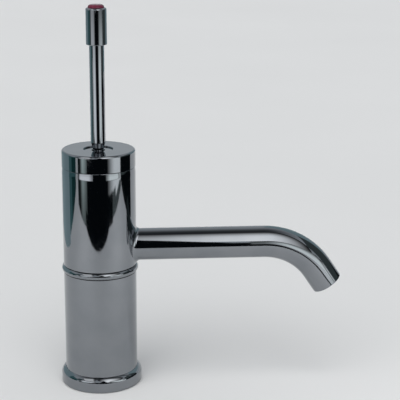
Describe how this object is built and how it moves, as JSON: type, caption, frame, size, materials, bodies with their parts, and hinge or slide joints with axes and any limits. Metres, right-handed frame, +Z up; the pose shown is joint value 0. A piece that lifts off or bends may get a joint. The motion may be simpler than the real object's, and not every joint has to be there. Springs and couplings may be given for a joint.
{
  "type": "mixer tap",
  "caption": "Deck-mounted mixer tap: tall round chromed body, stick handle that tilts and turns, and a bent tubular spout that swivels on the body.",
  "frame": {"origin": "centre of the base on the deck plane", "axes": "+Z up along the tap's axis, +X along the spout, +Y to the left of the spout"},
  "size_m": [0.1958, 0.056, 0.263],
  "materials": {
    "chrome": "polished chrome plating on brass",
    "brass": "machined brass",
    "steel": "turned stainless steel",
    "rubber": "black moulded rubber",
    "glide_plastic": "white acetal",
    "cartridge_plastic": "dark grey glass-filled plastic",
    "disc_ceramic": "lapped alumina ceramic",
    "marker_red": "dark red glossy plastic"
  },
  "bodies": {
    "fixed_body": {"valve_body": "brass", "base_ring": "chrome", "deck_seal": "rubber", "pedestal_tube": "chrome", "bead_ring": "chrome", "lower_sleeve_seal": "rubber", "upper_sleeve_seal": "rubber", "lower_glide_ring": "glide_plastic", "upper_glide_ring": "glide_plastic", "swivel_stop_pin": "steel", "cartridge_base": "cartridge_plastic", "port_seals": "rubber", "fixed_disc": "disc_ceramic", "cartridge_housing": "cartridge_plastic", "cartridge_nut": "brass", "cap": "chrome"},
    "spout": {"spout_sleeve": "chrome", "spout_tube": "chrome", "aerator_ring": "chrome", "aerator_washer": "rubber", "jet_plate": "glide_plastic", "flow_straightener": "glide_plastic"},
    "rotor": {"lever_rotor": "cartridge_plastic", "tilt_pin": "steel"},
    "handle": {"lever_spindle": "steel", "handle_stick": "chrome", "knob": "chrome", "colour_marker": "marker_red"},
    "sliding_cover": {"cover_plate": "chrome"},
    "mixing_slide": {"moving_disc": "disc_ceramic", "disc_carriage": "cartridge_plastic"}
  },
  "joints": [
    {"name": "spout_swivel", "type": "hinge", "parent": "fixed_body", "child": "spout", "pos_m": [0, 0, 0.0985], "axis": [0, 0, 1], "range_deg": [-60, 60]},
    {"name": "handle_turn", "type": "hinge", "parent": "fixed_body", "child": "rotor", "pos_m": [0, 0, 0.1523], "axis": [0, 0, 1], "range_deg": [-45, 45]},
    {"name": "handle_tilt", "type": "hinge", "parent": "rotor", "child": "handle", "pos_m": [0, 0, 0.1523], "axis": [0, 1, 0], "range_deg": [0, 20]},
    {"name": "cover_slide", "type": "slide", "parent": "rotor", "child": "sliding_cover", "axis": [1, 0, 0], "range_m": [0, 0.00461]},
    {"name": "disc_slide", "type": "slide", "parent": "rotor", "child": "mixing_slide", "axis": [1, 0, 0], "range_m": [-0.00452, 0]}
  ],
  "couplings": [
    {"joint": "cover_slide", "follows": "handle_tilt", "m_per_rad": 0.01319},
    {"joint": "disc_slide", "follows": "handle_tilt", "m_per_rad": -0.012934}
  ]
}
